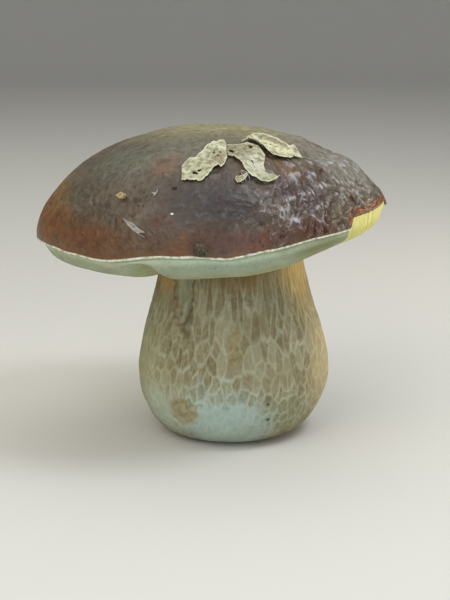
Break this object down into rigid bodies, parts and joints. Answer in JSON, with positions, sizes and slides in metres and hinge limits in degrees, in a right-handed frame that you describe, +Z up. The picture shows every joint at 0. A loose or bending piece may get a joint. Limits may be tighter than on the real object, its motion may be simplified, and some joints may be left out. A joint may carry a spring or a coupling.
{
  "type": "porcini mushroom",
  "caption": "Picked mushroom standing on its trimmed foot: broad wet brown cap, pale layer of tubes and a stout stem with a raised net, with bits of dry leaf on the cap.",
  "frame": {"origin": "middle of the flat trimmed foot that the mushroom stands on", "axes": "+Z up the stem, +X to the side where the cap's edge is highest and notched, -Y to the side with the scraps of leaf"},
  "size_m": [0.1397, 0.1372, 0.1244],
  "materials": {
    "cap_skin": "wet, wrinkled, gently glossy",
    "tubes": "matt, finely pored",
    "stem_flesh": "matt, with a raised paler net",
    "dry_leaf": "matt, dry and brittle",
    "husk": "satin, thin and dry",
    "soil": "matt, crumbly",
    "bark": "matt, flaky"
  },
  "bodies": {
    "root": {"cap": "cap_skin", "tube_layer": "tubes", "stem": "stem_flesh", "leaf_scrap_left": "dry_leaf", "leaf_scrap_middle": "dry_leaf", "leaf_scrap_right": "dry_leaf", "leaf_scrap_small": "dry_leaf", "dry_husk": "husk", "soil_crumb": "soil", "bark_crumb": "bark"}
  },
  "joints": []
}
